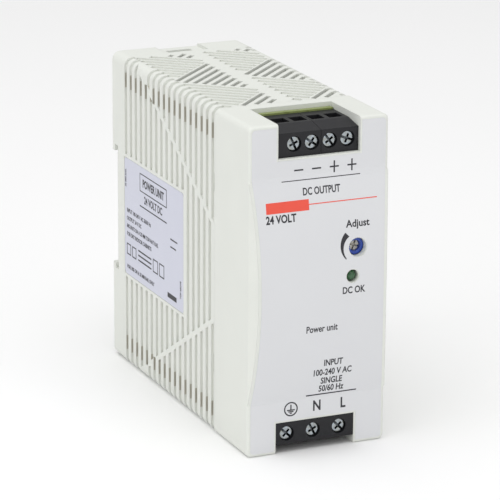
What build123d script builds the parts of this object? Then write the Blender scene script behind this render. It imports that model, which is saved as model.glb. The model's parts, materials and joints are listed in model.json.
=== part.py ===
from build123d import *

import math
import os

os.makedirs("parts", exist_ok=True)

# DIN rail power supply, in millimetres. X is the width, -Y is the front with the
# screws, +Y is the rail side and +Z is up. The origin is the middle of the body's
# bottom face, half way between the crown of the front and the rear lips.

# Driving dimensions of the body
body_width = 40.0
body_height = 90.0
body_depth = 100.0
wall = 1.8
body_corner_radius = 2.4
cover_corner_radius = 1.5
cover_depth = 22.0
crown_rise = 3.5
crown_inset = 1.6
crown_low = 14.5
crown_high_drop = 14.5
crown_edge_radius = 0.8
film = 0.15
fit_gap = 0.1

# Rail seat for a 35 mm top-hat rail that is 1 to 1.5 mm thick
rail_width = 35.0
rail_recess = 4.5
recess_low = 28.0
hook_reach = 1.5
seat_relief = 0.2
rail_slot_depth = 2.0
rail_slot_high = 1.8
rail_slot_low = 1.4

# Rib and vent pattern
groove_pitch = 3.76
groove_width = 1.6
groove_depth = 0.8
first_groove = 1.4
half_pitches = 33
chevron_angle = 30.0
chevron_low = 31.3
chevron_high_drop = 31.5
chevron_ridge = 0.8
vent_length = 4.2
vent_edge_gap = 4.2
slant_slope = 0.84
slant_length = 30.8
slant_start = 48.8
slant_width = 1.3
slant_groove_width = 1.8
slant_slots = 9
slant_period = 10
left_lead = 0.75
right_lead = 1.15
middle_ridge = 3.7
wrap = 3.0
past = 1.0

# Terminals: one row at the top for the output, one at the bottom for the input
output_pitch = 5.08
output_poles = 4
input_pitch = 7.62
input_poles = 3
output_middle = 1.0
output_left_over = 2.4
output_right_over = 0.5
input_middle = -0.82
input_left_over = -0.58
input_right_over = 0.33
notch_gap = 0.1
output_notch_height = 9.3
input_notch_height = 8.7
notch_depth = 18.0
cheek = 1.0
ledge_drop = 1.7
output_face_drop = 2.8
input_face_drop = 2.4
slope_length = 6.0
block_height = 12.4
output_face = 1.1
input_face = 0.2
output_screw_drop = 5.85
input_screw_drop = 5.4
board_y = 16.2
board_thickness = 1.6

# Clamp screw M2.5 and rising cage
head_radius = 1.8
head_height = 1.4
head_sink = 0.6
head_bore_gap = 0.25
shank_radius = 1.2
thread_gap = 0.04
head_edge = 0.3
drive_width = 0.55
drive_depth = 0.6
cross_reach = 1.1
cage_travel = 1.8
cage_wall = 0.8
cage_side = 0.45
cage_length = 6.4
cage_height = 5.0
chamber_gap = 0.15
chamber_wall = 0.7
chamber_over = 0.9
chamber_under = 0.3
screw_reach = 2.0
contact_thickness = 0.8
contact_half = 0.9
tail_half = 0.5
tail_drop = 0.15
tail_height = 0.65
tail_out = 1.2
wire_slot = 3.8
wire_slot_gap = 0.4
wire_wall = 0.6

# Trimmer and lamp in the crown
trimmer_x = 10.05
trimmer_z = 55.6
trimmer_hole_radius = 2.5
trimmer_face = -1.2
trimmer_size = 6.6
trimmer_depth = 6.4
rotor_radius = 1.75
rotor_depth = 1.6
rotor_gap = 0.05
cross_half = 0.3
cross_depth = 0.7
lamp_x = 8.5
lamp_z = 48.0
lamp_radius = 1.6
lamp_hole_gap = 0.12
lamp_sink = 0.3
lamp_length = 5.4
lamp_flange = 1.0
lead_half = 0.25
lead_spread = 1.27

# Spring latch in the lower rear foot
latch_width = 12.0
latch_thickness = 3.3
latch_gap = 0.12
latch_travel = 4.0
latch_tooth = 2.4
latch_tip = 0.6
lug_low = 6.0
lug_height = 1.8
lug_half_width = 1.9
window_top = 20.0
pry_slot_half = 3.0
pry_slot_depth = 3.2
spring_wire = 0.45
spring_radius = 1.15
spring_turns = 9

# Label on the left side
plate_length = 43.4
plate_height = 34.3
plate_rear_gap = 9.6
plate_low = 27.2
plate_margin = 0.9

# Places that follow from the sizes above
half_width = body_width / 2
rear_y = body_depth / 2
front_y = crown_rise - rear_y
crown_y = film - rear_y
seam_y = front_y + cover_depth
seat_y = rear_y - rail_recess
recess_top = recess_low + rail_width - hook_reach
crown_high = body_height - crown_high_drop
chevron_high = body_height - chevron_high_drop
cavity_rear = seat_y - wall
inner_half = half_width - wall
board_front = front_y + board_y
board_back = board_front + board_thickness
output_half = output_poles * output_pitch / 2
input_half = input_poles * input_pitch / 2
output_low = output_middle - output_half - output_left_over
output_high = output_middle + output_half + output_right_over
input_low = input_middle - input_half - input_left_over
input_high = input_middle + input_half + input_right_over
output_notch = (output_low - notch_gap, output_high + notch_gap)
input_notch = (input_low - notch_gap, input_high + notch_gap)
notch_heights = {1: output_notch_height, -1: input_notch_height}
face_drops = {1: output_face_drop, -1: input_face_drop}
groove_front = seam_y + first_groove
groove_rear = groove_front + half_pitches * groove_pitch / 2


def box(x, y, z, mode=Mode.ADD):
    # A block between low and high values on each axis
    middle = ((x[0] + x[1]) / 2, (y[0] + y[1]) / 2, (z[0] + z[1]) / 2)
    with Locations(middle):
        Box(x[1] - x[0], y[1] - y[0], z[1] - z[0], mode=mode)


def rod(radius, x, z, y, mode=Mode.ADD):
    # A round bar along Y, from y[0] to y[1]
    with Locations((x, (y[0] + y[1]) / 2, z)):
        Cylinder(radius, y[1] - y[0], rotation=(90, 0, 0), mode=mode)


def post(radius, y, z, x, mode=Mode.ADD):
    # A round bar along X, from x[0] to x[1]
    with Locations(((x[0] + x[1]) / 2, y, z)):
        Cylinder(radius, x[1] - x[0], rotation=(0, 90, 0), mode=mode)


def level(side, drop):
    # Height of a point that lies a drop inside the top (side 1) or bottom (side -1) face
    return body_height - drop if side > 0 else drop


def span(side, outer_drop, inner_drop):
    # Low and high Z between two drops from the top or bottom face
    return tuple(sorted((level(side, outer_drop), level(side, inner_drop))))


def finish(part, name):
    part.part.label = name
    export_step(part.part, f"parts/{name}.step")


# Ribs and vents


def chevron_rise(y):
    return (y - groove_front) * math.tan(math.radians(chevron_angle))


def inner_low(y):
    return max(chevron_low - chevron_rise(y) + chevron_ridge, -past)


def inner_high(y):
    return min(chevron_high + chevron_rise(y) - chevron_ridge, body_height + past)


def outer_low(y):
    return chevron_low - chevron_rise(y) - chevron_ridge


def outer_high(y):
    return chevron_high + chevron_rise(y) + chevron_ridge


def under_body(y):
    return -past


def over_body(y):
    return body_height + past


def groove_strip(y, low_end, high_end):
    # One straight groove whose ends may be cut along the chevron
    half = groove_width / 2
    Polygon(
        (y - half, low_end(y - half)),
        (y + half, low_end(y + half)),
        (y + half, high_end(y + half)),
        (y - half, high_end(y - half)),
        align=None,
    )


def side_grooves():
    # Odd grooves lie inside the chevron; even ones run from it to the top and bottom edges
    for n in range(half_pitches + 1):
        y = groove_front + n * groove_pitch / 2
        if n % 2:
            groove_strip(y, inner_low, inner_high)
        elif outer_low(y) > body_corner_radius + groove_width:
            groove_strip(y, under_body, outer_low)
            groove_strip(y, outer_high, over_body)


def vent_rows():
    # Y of the through slots: one in each groove that reaches the top and bottom edges
    rows = []
    for n in range(half_pitches + 1):
        y = groove_front + n * groove_pitch / 2
        reach = chevron_low - chevron_rise(y)
        outside = reach > vent_edge_gap + vent_length / 2
        inside = reach < vent_edge_gap
        if (n % 2 == 0 and outside) or (n % 2 == 1 and inside):
            rows.append(y)
    return rows


def slanted(base_x, start_y, slope, t_low, t_high, width):
    # One slanted line of the top pattern, drawn from base_x towards -X
    if t_high - t_low < width:
        return
    t_middle = (t_low + t_high) / 2
    length = (t_high - t_low) * math.hypot(1, slope)
    with Locations((base_x - t_middle, start_y + slope * t_middle)):
        Rectangle(length, width, rotation=-math.degrees(math.atan(slope)))


def strip_range(start_y, slope, t_low, t_high):
    # Keep a slanted line between the smooth margins at the front and the rear
    edge_low = groove_front - groove_width / 2
    edge_high = groove_rear - groove_width / 2
    ends = sorted(((edge_low - start_y) / slope, (edge_high - start_y) / slope))
    return max(t_low, ends[0]), min(t_high, ends[1])


strip_width = (body_width - middle_ridge) / 2 - wrap + groove_width / 2
left_base = -middle_ridge / 2 + left_lead
right_base = half_width - middle_ridge / 2 + right_lead
period = slant_period * groove_pitch


def vent_triangles(base_x, t_low, t_high):
    # Through slots at 45 degrees, each triangle shrinking towards the front
    for copy in (-1, 0, 1):
        start = seam_y + slant_start + copy * period
        for k in range(slant_slots):
            slot_start = start - k * groove_pitch
            reach = (slot_start - (start - slant_length)) / (1 + slant_slope)
            ends = strip_range(slot_start, -1.0, t_low, min(t_high, reach))
            slanted(base_x, slot_start, -1.0, ends[0], ends[1], slant_width)


def groove_triangles(base_x, t_low, t_high):
    # Shallow grooves that fill the space between two triangles of slots
    for copy in (0, 1):
        start = seam_y + slant_start + copy * period
        for j in range(slant_slots):
            groove_start = start - slant_length - (j + 0.75) * groove_pitch
            clear = (start - period + groove_pitch / 2 - groove_start) / (1 + slant_slope)
            ends = strip_range(groove_start, slant_slope, max(t_low, clear), t_high)
            slanted(base_x, groove_start, slant_slope, ends[0], ends[1], slant_groove_width)


right_low = right_base - half_width + wrap
plate_rear = rear_y - plate_rear_gap
plate_y = (plate_rear - plate_length, plate_rear)
plate_z = (plate_low, plate_low + plate_height)

with BuildPart() as groove_tool:
    with BuildSketch(Plane.YZ.offset(half_width - wrap)):
        side_grooves()
    extrude(amount=wrap + past)
    mirror(about=Plane.YZ)
    with BuildSketch(Plane.XY.offset(body_height - wrap)):
        groove_triangles(left_base, 0.0, strip_width)
        groove_triangles(right_base, right_low, strip_width)
    extrude(amount=wrap + past)
    with BuildSketch(Plane.XY.offset(-past)):
        groove_triangles(left_base, 0.0, strip_width)
        groove_triangles(right_base, right_low, strip_width)
    extrude(amount=wrap + past)
    # Only the outer skin is cut, so that the grooves follow the rounded edges
    with BuildSketch(Plane.XZ.offset(-rear_y)):
        with Locations((0, body_height / 2)):
            Rectangle(body_width + 2 * past, body_height + 2 * past)
            RectangleRounded(
                body_width - 2 * groove_depth,
                body_height - 2 * groove_depth,
                body_corner_radius - groove_depth,
                mode=Mode.SUBTRACT,
            )
    extrude(amount=body_depth, mode=Mode.INTERSECT)
    # Flat pad for the label on the left side
    box(
        (-half_width - past, -half_width + wrap),
        (plate_y[0] - plate_margin, plate_y[1] + plate_margin),
        (plate_z[0] - plate_margin, plate_z[1] + plate_margin),
        Mode.SUBTRACT,
    )

with BuildPart() as vent_tool:
    for y in vent_rows():
        for z in (vent_edge_gap, body_height - vent_edge_gap - vent_length):
            box(
                (-half_width - past, half_width + past),
                (y - groove_width / 2, y + groove_width / 2),
                (z, z + vent_length),
            )
    with BuildSketch(Plane.XY.offset(-past)):
        vent_triangles(left_base, 0.0, strip_width)
        vent_triangles(right_base, right_low, strip_width)
    extrude(amount=body_height + 2 * past)

# Rear housing: a tub with the rail seat, the hooks and the latch channel

latch_half = latch_width / 2 + latch_gap
channel_rear = seat_y + latch_thickness + 2 * latch_gap
rear_notch_x = (-6.9, 6.3)
rear_notch_length = 8.4
rear_notch_depth = 0.8
rear_slot_x = (-4.6, 2.8)
rear_slot_length = 2.2
rear_slot_setback = 3.0
rear_rim_radius = 1.0
seam_window = 0.9
tab_height = 5.0
tab_drop = 17.4
tab_levels = (tab_drop, body_height - tab_drop - tab_height)
tab_thickness = 1.0
tab_length = 4.0
guide_height = 2.6
guide_width = 1.2
guide_gap = 0.1
guide_setback = 8.0
main_board_x = -15.6
lug_share = 0.55

with BuildPart() as rear_housing:
    with BuildSketch(Plane.XZ.offset(-rear_y)):
        with Locations((0, body_height / 2)):
            RectangleRounded(body_width, body_height, body_corner_radius)
    extrude(amount=rear_y - seam_y)
    rim = rear_housing.faces().sort_by(Axis.Y)[-1].edges()
    fillet(rim, radius=rear_rim_radius)
    with BuildSketch(Plane.XZ.offset(-cavity_rear)):
        with Locations((0, body_height / 2)):
            RectangleRounded(2 * inner_half, body_height - 2 * wall, body_corner_radius - wall)
    extrude(amount=cavity_rear - seam_y, mode=Mode.SUBTRACT)
    # Guides for the main board
    board_sides = (
        (main_board_x - guide_gap - guide_width, main_board_x - guide_gap),
        (
            main_board_x + board_thickness + guide_gap,
            main_board_x + board_thickness + guide_gap + guide_width,
        ),
    )
    for guide_x in board_sides:
        for side in (1, -1):
            box(guide_x, (seam_y + guide_setback, cavity_rear), span(side, wall, wall + guide_height))
    # Rail recess. The hook slots and the latch channel are a little deeper than the seat
    whole_x = (-half_width - past, half_width + past)
    slot_y = (seat_y - seat_relief, seat_y + rail_slot_depth)
    box(whole_x, (seat_y, rear_y + past), (recess_low, recess_top), Mode.SUBTRACT)
    box(whole_x, slot_y, (recess_top, recess_top + rail_slot_high), Mode.SUBTRACT)
    box(whole_x, slot_y, (recess_low - rail_slot_low, recess_low), Mode.SUBTRACT)
    channel_y = (seat_y - seat_relief, channel_rear)
    box((-latch_half, latch_half), channel_y, (-past, recess_low), Mode.SUBTRACT)
    # Stop lug, which also carries the spring
    lug_y = (seat_y - seat_relief, seat_y + latch_thickness * lug_share)
    box((-lug_half_width, lug_half_width), lug_y, (lug_low, lug_low + lug_height))
    # Release notch in the rear top edge
    notch_front = rear_y - rear_notch_length
    notch_z = (body_height - rear_notch_depth, body_height + past)
    box(rear_notch_x, (notch_front, rear_y + past), notch_z, Mode.SUBTRACT)
    slot_front = notch_front + rear_slot_setback
    pocket_y = (slot_front, slot_front + rear_slot_length)
    box(rear_slot_x, pocket_y, (body_height - 2 * wall, body_height), Mode.SUBTRACT)
    # Windows at the seam for the cover's snap tabs
    for z in tab_levels:
        box(whole_x, (seam_y - past, seam_y + seam_window), (z, z + tab_height), Mode.SUBTRACT)
    # Shallow seat for the side label
    box((-half_width - past, -half_width + film), plate_y, plate_z, Mode.SUBTRACT)
    add(groove_tool.part, mode=Mode.SUBTRACT)
    add(vent_tool.part, mode=Mode.SUBTRACT)
    # The rail seat and the rear wall stay whole under the vents
    seat_pad = (seat_y - wall, seat_y - seat_relief)
    box((-inner_half, inner_half), seat_pad, (wall, body_height - wall))
    box((-inner_half, inner_half), (seat_y - wall, seat_y), (recess_low, recess_top))
finish(rear_housing, "rear_housing")

# Front cover with its convex crown

crown_middle = (crown_low + crown_high) / 2


def front_profile(y_shift, end_trim, edge, mode=Mode.ADD):
    # Side view of the front: straight ends and a shallow arc between them
    low = (front_y + y_shift, crown_low + end_trim)
    high = (front_y + y_shift, crown_high - end_trim)
    back = (seam_y, edge)
    with BuildLine() as outline:
        Polyline(back, (front_y + y_shift, edge), low)
        ThreePointArc(low, (crown_y + y_shift, crown_middle), high)
        Polyline(high, (front_y + y_shift, body_height - edge), (seam_y, body_height - edge), back)
    make_face(outline.edges(), mode=mode)


def crown_plan(inset):
    # Seen from above, the crown's sides lean in towards the front
    wide = half_width - inset
    narrow = wide - crown_inset
    Polygon(
        (-wide, seam_y),
        (-wide, front_y),
        (-narrow, -rear_y),
        (narrow, -rear_y),
        (wide, front_y),
        (wide, seam_y),
        align=None,
    )


def front_rim(cover):
    # Outline of the whole front, without the creases where the crown begins and ends
    rim = []
    for edge in cover.edges():
        place = edge.center()
        direction = edge % 0.5
        inside = past < place.Z < body_height - past
        crease = abs(direction.X) > 0.99 and inside
        side_crease = abs(direction.Z) > 0.9999 and abs(place.Z - crown_middle) < past
        if place.Y < front_y + past / 10 and not crease and not side_crease:
            rim.append(edge)
    return rim


with BuildPart() as front_cover:
    with BuildSketch(Plane.YZ.offset(-half_width)):
        front_profile(0.0, 0.0, 0.0)
    extrude(amount=body_width)
    with BuildSketch(Plane.XY):
        crown_plan(0.0)
    extrude(amount=body_height, mode=Mode.INTERSECT)
    long_edges = front_cover.edges().filter_by(Axis.Y)
    fillet(long_edges, radius=cover_corner_radius)
    fillet(front_rim(front_cover), radius=crown_edge_radius)
    with BuildSketch(Plane.YZ.offset(-inner_half)):
        front_profile(wall, wall, wall)
    extrude(amount=2 * inner_half, mode=Mode.SUBTRACT)
    for notch, side in ((output_notch, 1), (input_notch, -1)):
        cheek_y = (front_y + wall, board_front - fit_gap)
        cheek_z = span(side, wall, notch_heights[side] + cheek)
        box((notch[0] - cheek, notch[0]), cheek_y, cheek_z)
        box((notch[1], notch[1] + cheek), cheek_y, cheek_z)
        notch_y = (-rear_y - past, front_y + notch_depth)
        box(notch, notch_y, span(side, -past, notch_heights[side]), Mode.SUBTRACT)
    hole_y = (-rear_y - past, front_y + wall)
    rod(trimmer_hole_radius, trimmer_x, trimmer_z, hole_y, Mode.SUBTRACT)
    rod(lamp_radius + lamp_hole_gap, lamp_x, lamp_z, hole_y, Mode.SUBTRACT)
    # Snap tabs that reach into the rear housing
    tab_outer = inner_half - fit_gap
    for z in tab_levels:
        tab_z = (z + fit_gap, z + tab_height - fit_gap)
        for sign in (-1, 1):
            tab_x = sorted((sign * tab_outer, sign * (tab_outer - tab_thickness)))
            root_x = sorted((sign * inner_half, sign * (tab_outer - tab_thickness)))
            box(tab_x, (seam_y - tab_length, seam_y + tab_length), tab_z)
            box(root_x, (seam_y - tab_length, seam_y), tab_z)
finish(front_cover, "front_cover")

# Labels

label_inset = 0.9
label_notch_gap = 0.5
label_corner = 1.0
plate_corner = 1.2

with BuildPart() as front_label:
    with BuildSketch(Plane.YZ.offset(-half_width)):
        front_profile(-film, 0.0, 0.0)
        front_profile(0.0, 0.0, -past, Mode.SUBTRACT)
    extrude(amount=body_width)
    with BuildSketch(Plane.XY):
        crown_plan(label_inset)
    extrude(amount=body_height, mode=Mode.INTERSECT)
    with BuildSketch(Plane.XZ.offset(-front_y)):
        with Locations((0, body_height / 2)):
            RectangleRounded(body_width - 2 * label_inset, body_height - 2 * label_inset, label_corner)
        for notch, side in ((output_notch, 1), (input_notch, -1)):
            with Locations(((notch[0] + notch[1]) / 2, level(side, notch_heights[side] / 2))):
                notch_wide = notch[1] - notch[0] + 2 * label_notch_gap
                notch_high = notch_heights[side] + 2 * label_notch_gap
                Rectangle(notch_wide, notch_high, mode=Mode.SUBTRACT)
        with Locations((trimmer_x, trimmer_z)):
            Circle(trimmer_hole_radius + film, mode=Mode.SUBTRACT)
        with Locations((lamp_x, lamp_z)):
            Circle(lamp_radius + lamp_hole_gap + film, mode=Mode.SUBTRACT)
    extrude(amount=2 * crown_rise, both=True, mode=Mode.INTERSECT)
finish(front_label, "front_label")

with BuildPart() as side_label:
    with BuildSketch(Plane.YZ.offset(-half_width)):
        with Locations((sum(plate_y) / 2, sum(plate_z) / 2)):
            RectangleRounded(plate_length - 2 * fit_gap, plate_height - 2 * fit_gap, plate_corner)
    extrude(amount=film)
finish(side_label, "side_label")

# Spring latch

tooth_y = seat_y + rail_slot_depth + latch_gap
tooth_rear = seat_y + latch_gap + latch_thickness
shelf_z = recess_low - 1.0
tooth_bevel = 0.7
window_half = lug_half_width + latch_gap

with BuildPart() as din_latch:
    with BuildSketch(Plane.YZ.offset(-latch_width / 2)):
        with BuildLine():
            Polyline(
                (seat_y + latch_gap, latch_tip),
                (tooth_rear, latch_tip),
                (tooth_rear, shelf_z + tooth_bevel),
                (tooth_y + tooth_bevel, shelf_z + latch_tooth),
                (tooth_y, shelf_z + latch_tooth),
                (tooth_y, shelf_z),
                (seat_y + latch_gap, shelf_z),
                close=True,
            )
        make_face()
    extrude(amount=latch_width)
    latch_y = (seat_y - past, rear_y)
    box((-window_half, window_half), latch_y, (lug_low - latch_gap, window_top), Mode.SUBTRACT)
    # Screwdriver slot in the lower end
    pry_y = (seat_y + latch_thickness / 3, seat_y + latch_thickness * 2 / 3)
    pry_z = (latch_tip - past, latch_tip + pry_slot_depth)
    box((-pry_slot_half, pry_slot_half), pry_y, pry_z, Mode.SUBTRACT)
finish(din_latch, "din_latch")

spring_low = lug_low + lug_height
spring_height = window_top - spring_low
coil_height = spring_height - spring_wire
spring_middle = seat_y + latch_gap + latch_thickness / 2
with BuildPart() as latch_spring:
    with BuildLine(Plane((0, spring_middle, spring_low + spring_wire / 2))):
        coil = Helix(coil_height / spring_turns, coil_height, spring_radius)
    with BuildSketch(Plane(origin=coil @ 0, z_dir=coil % 0)):
        Circle(spring_wire / 2)
    sweep(is_frenet=True)
finish(latch_spring, "latch_spring")

# Terminal blocks


def block_profile(side, face):
    # Side view: front face, slope up to the ledge with the wire holes, and the back
    plate_back = front_y + wall + fit_gap
    front = front_y + face
    points = [
        (front, level(side, face_drops[side])),
        (front_y + face + slope_length, level(side, ledge_drop)),
        (board_front, level(side, ledge_drop)),
        (board_front, level(side, block_height)),
        (max(plate_back, front), level(side, block_height)),
    ]
    if front < plate_back:
        inner = level(side, notch_heights[side] - notch_gap / 2)
        points += [(plate_back, inner), (front, inner)]
    Polygon(*points, align=None)


def terminal_block(poles, x_low, x_high, side, face, screw_drop, pitch):
    with BuildPart() as housing:
        with BuildSketch(Plane.YZ.offset(x_low)):
            block_profile(side, face)
        extrude(amount=x_high - x_low)
        front = front_y + face
        seat = front + head_sink + head_height + fit_gap
        chamber_front = seat + chamber_wall
        chamber = (chamber_front, chamber_front + cage_length + cage_travel + 2 * chamber_gap)
        chamber_half = min(pitch / 2 - wire_wall, wire_slot / 2)
        screw_z = level(side, screw_drop)
        cage_half = cage_height / 2
        chamber_top = screw_drop - cage_half - chamber_under
        chamber_z = span(side, chamber_top, screw_drop + cage_half + chamber_over)
        slot_z = span(side, ledge_drop - past, screw_drop)
        slot_y = (chamber[1] - wire_slot - wire_slot_gap, chamber[1])
        # Slot in the back wall for the solder tail
        tail_z = span(side, screw_drop + cage_half, screw_drop + cage_half + chamber_over)
        tail_room = tail_half + fit_gap
        for x in poles:
            rod(head_radius + head_bore_gap, x, screw_z, (front - past, seat), Mode.SUBTRACT)
            rod(shank_radius + chamber_gap, x, screw_z, (seat - past, chamber_front + past), Mode.SUBTRACT)
            box((x - chamber_half, x + chamber_half), chamber, chamber_z, Mode.SUBTRACT)
            box((x - wire_slot / 2, x + wire_slot / 2), slot_y, slot_z, Mode.SUBTRACT)
            tail_x = (x - tail_room, x + tail_room)
            box(tail_x, (chamber[1] - past, board_front + past), tail_z, Mode.SUBTRACT)
    return housing


def pole_places(middle, pitch, count):
    return [middle + (k - (count - 1) / 2) * pitch for k in range(count)]


def cage_low(front):
    # Front of the cage when the clamp is fully open
    return front + head_sink + head_height + fit_gap + chamber_wall + chamber_gap + cage_travel


def clamp_screw(x, z, front):
    # Combination slot and cross head, and a plain shank of the thread's size
    head_front = front + head_sink
    with BuildPart() as screw:
        rod(head_radius, x, z, (head_front, head_front + head_height))
        rim = screw.faces().sort_by(Axis.Y)[0].edges()
        fillet(rim, radius=head_edge)
        rod(shank_radius, x, z, (head_front + head_height, cage_low(front) + screw_reach))
        drive_y = (head_front - past, head_front + drive_depth)
        half = drive_width / 2
        box((x - head_radius, x + head_radius), drive_y, (z - half, z + half), Mode.SUBTRACT)
        box((x - half, x + half), drive_y, (z - cross_reach, z + cross_reach), Mode.SUBTRACT)
    return screw


def clamp_cage(x, z, front):
    # Square loop of steel that rides on the screw and pulls the wire up to the contact
    low = cage_low(front)
    high = low + cage_length
    half = wire_slot / 2 - chamber_gap
    with BuildPart() as cage:
        box((x - half, x + half), (low, high), (z - cage_height / 2, z + cage_height / 2))
        window_x = (x - half + cage_side, x + half - cage_side)
        window_z = (z - cage_height, z + cage_height)
        box(window_x, (low + cage_wall, high - cage_wall), window_z, Mode.SUBTRACT)
        rod(shank_radius + thread_gap, x, z, (low - past, low + 2 * cage_wall), Mode.SUBTRACT)
    return cage


def contact_tail(x, side, screw_drop, front):
    # Fixed contact plate through the cage, bent back into a solder tail
    plate_front = cage_low(front) + screw_reach + fit_gap
    tail_top = screw_drop + cage_height / 2 + tail_drop
    plate_z = span(side, screw_drop - cage_height / 2, tail_top + tail_height)
    tail_z = span(side, tail_top, tail_top + tail_height)
    box((x - contact_half, x + contact_half), (plate_front, plate_front + contact_thickness), plate_z)
    box((x - tail_half, x + tail_half), (plate_front, board_back + tail_out), tail_z)


output_x = pole_places(output_middle, output_pitch, output_poles)
input_x = pole_places(input_middle, input_pitch, input_poles)
output_front = front_y + output_face
input_front = front_y + input_face
output_z = level(1, output_screw_drop)
input_z = level(-1, input_screw_drop)

half_blocks = {
    "output_terminal_block_left": (output_x[:2], output_low, output_middle - fit_gap / 2),
    "output_terminal_block_right": (output_x[2:], output_middle + fit_gap / 2, output_high),
}
for name, (poles, x_low, x_high) in half_blocks.items():
    housing = terminal_block(poles, x_low, x_high, 1, output_face, output_screw_drop, output_pitch)
    finish(housing, name)

housing = terminal_block(
    input_x, input_low, input_high, -1, input_face, input_screw_drop, input_pitch
)
finish(housing, "input_terminal_block")

for number, x in enumerate(output_x, 1):
    finish(clamp_screw(x, output_z, output_front), f"output_screw_{number}")
    finish(clamp_cage(x, output_z, output_front), f"output_clamp_cage_{number}")
for number, x in enumerate(input_x, 1):
    finish(clamp_screw(x, input_z, input_front), f"input_screw_{number}")
    finish(clamp_cage(x, input_z, input_front), f"input_clamp_cage_{number}")

with BuildPart() as output_contacts:
    for x in output_x:
        contact_tail(x, 1, output_screw_drop, output_front)
finish(output_contacts, "output_contacts")

with BuildPart() as input_contacts:
    for x in input_x:
        contact_tail(x, -1, input_screw_drop, input_front)
finish(input_contacts, "input_contacts")

# Front board, trimmer and lamp

board_side_gap = 0.4
board_tab_drop = 1.2
board_tab_gap = 0.2
tail_hole = 0.85
trimmer_front = front_y + trimmer_face
plug_gap = 0.1
riser_inset = 0.3
riser_bore = 1.2
trimmer_back = trimmer_front + trimmer_depth

with BuildPart() as front_board:
    board_edge = inner_half - board_side_gap
    board_span = (board_front, board_back)
    board_drop = wall + board_side_gap
    box((-board_edge, board_edge), board_span, (board_drop, body_height - board_drop))
    tab_in = notch_gap + board_tab_gap
    output_tab = (output_notch[0] + tab_in, output_notch[1] - tab_in)
    input_tab = (input_notch[0] + tab_in, input_notch[1] - tab_in)
    box(output_tab, board_span, (body_height / 2, body_height - board_tab_drop))
    box(input_tab, board_span, (board_tab_drop, body_height / 2))
    tail_middle = cage_height / 2 + tail_drop + tail_height / 2
    through_board = (board_front - past, board_back + past)
    for row, side, drop in ((output_x, 1, output_screw_drop), (input_x, -1, input_screw_drop)):
        for x in row:
            rod(tail_hole, x, level(side, drop + tail_middle), through_board, Mode.SUBTRACT)
finish(front_board, "front_board")

with BuildPart() as trimmer_body:
    trimmer_half = trimmer_size / 2
    trimmer_square_x = (trimmer_x - trimmer_half, trimmer_x + trimmer_half)
    trimmer_square_z = (trimmer_z - trimmer_half, trimmer_z + trimmer_half)
    box(trimmer_square_x, (front_y + wall + fit_gap, trimmer_back), trimmer_square_z)
    rod(trimmer_hole_radius - plug_gap, trimmer_x, trimmer_z, (trimmer_front, trimmer_back - past))
    rotor_well = (trimmer_front - past, trimmer_front + rotor_depth + rotor_gap)
    rod(rotor_radius + rotor_gap, trimmer_x, trimmer_z, rotor_well, Mode.SUBTRACT)
finish(trimmer_body, "trimmer_body")

with BuildPart() as trimmer_rotor:
    rotor_face = trimmer_front + 2 * rotor_gap
    rod(rotor_radius, trimmer_x, trimmer_z, (rotor_face, trimmer_front + rotor_depth))
    cross_y = (trimmer_front, rotor_face + cross_depth)
    arm = rotor_radius - cross_half
    narrow_x = (trimmer_x - cross_half, trimmer_x + cross_half)
    narrow_z = (trimmer_z - cross_half, trimmer_z + cross_half)
    box((trimmer_x - arm, trimmer_x + arm), cross_y, narrow_z, Mode.SUBTRACT)
    box(narrow_x, cross_y, (trimmer_z - arm, trimmer_z + arm), Mode.SUBTRACT)
finish(trimmer_rotor, "trimmer_rotor")

with BuildPart() as trimmer_riser:
    riser_half = trimmer_size / 2 - riser_inset
    riser_x = (trimmer_x - riser_half, trimmer_x + riser_half)
    riser_z = (trimmer_z - riser_half, trimmer_z + riser_half)
    box(riser_x, (trimmer_back, board_front), riser_z)
    rod(riser_bore, trimmer_x, trimmer_z, (trimmer_back - past, board_front + past), Mode.SUBTRACT)
finish(trimmer_riser, "trimmer_riser")

lamp_front = crown_y + lamp_sink
lamp_shoulder = lamp_front + lamp_length
lamp_back = lamp_shoulder + lamp_flange
lamp_rim = 0.3
dome_share = 0.95
lead_gap = 0.25
lead_places = (lamp_x - lead_spread, lamp_x + lead_spread)

with BuildPart() as power_lamp:
    rod(lamp_radius, lamp_x, lamp_z, (lamp_front, lamp_shoulder))
    dome = power_lamp.faces().sort_by(Axis.Y)[0].edges()
    fillet(dome, radius=lamp_radius * dome_share)
    rod(lamp_radius + lamp_rim, lamp_x, lamp_z, (lamp_shoulder, lamp_back))
finish(power_lamp, "power_lamp")

with BuildPart() as lamp_leads:
    for x in lead_places:
        lead_z = (lamp_z - lead_half, lamp_z + lead_half)
        box((x - lead_half, x + lead_half), (lamp_back, board_front), lead_z)
finish(lamp_leads, "lamp_leads")

with BuildPart() as lamp_spacer:
    rod(lamp_radius + 2 * lamp_rim, lamp_x, lamp_z, (lamp_back, board_front))
    for x in lead_places:
        rod(lead_half + lead_gap, x, lamp_z, (lamp_back - past, board_front + past), Mode.SUBTRACT)
finish(lamp_spacer, "lamp_spacer")

# Main board and what stands on it. Components stand out from the board towards +X

board_top = main_board_x + board_thickness
board_end_gap = 0.4
main_y = (board_back + 1.4, cavity_rear - 1.0)


def stand(height, start=0.0):
    # X range of something that stands on the board
    return (board_top + start, board_top + start + height)


def about(middle, half):
    return (middle - half, middle + half)


with BuildPart() as main_board:
    end_drop = wall + board_end_gap
    box((main_board_x, board_top), main_y, (end_drop, body_height - end_drop))
finish(main_board, "main_board")

sheet_gap = 0.3
sheet_thickness = 0.4
sheet_margin = 4.0
sheet_clear = 1.0

with BuildPart() as insulation_sheet:
    sheet_x = (-inner_half + sheet_gap, -inner_half + sheet_gap + sheet_thickness)
    sheet_y = (seam_y + tab_length + sheet_clear, main_y[1] - 2 * sheet_clear)
    box(sheet_x, sheet_y, (wall + sheet_margin, body_height - wall - sheet_margin))
finish(insulation_sheet, "insulation_sheet")

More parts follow.
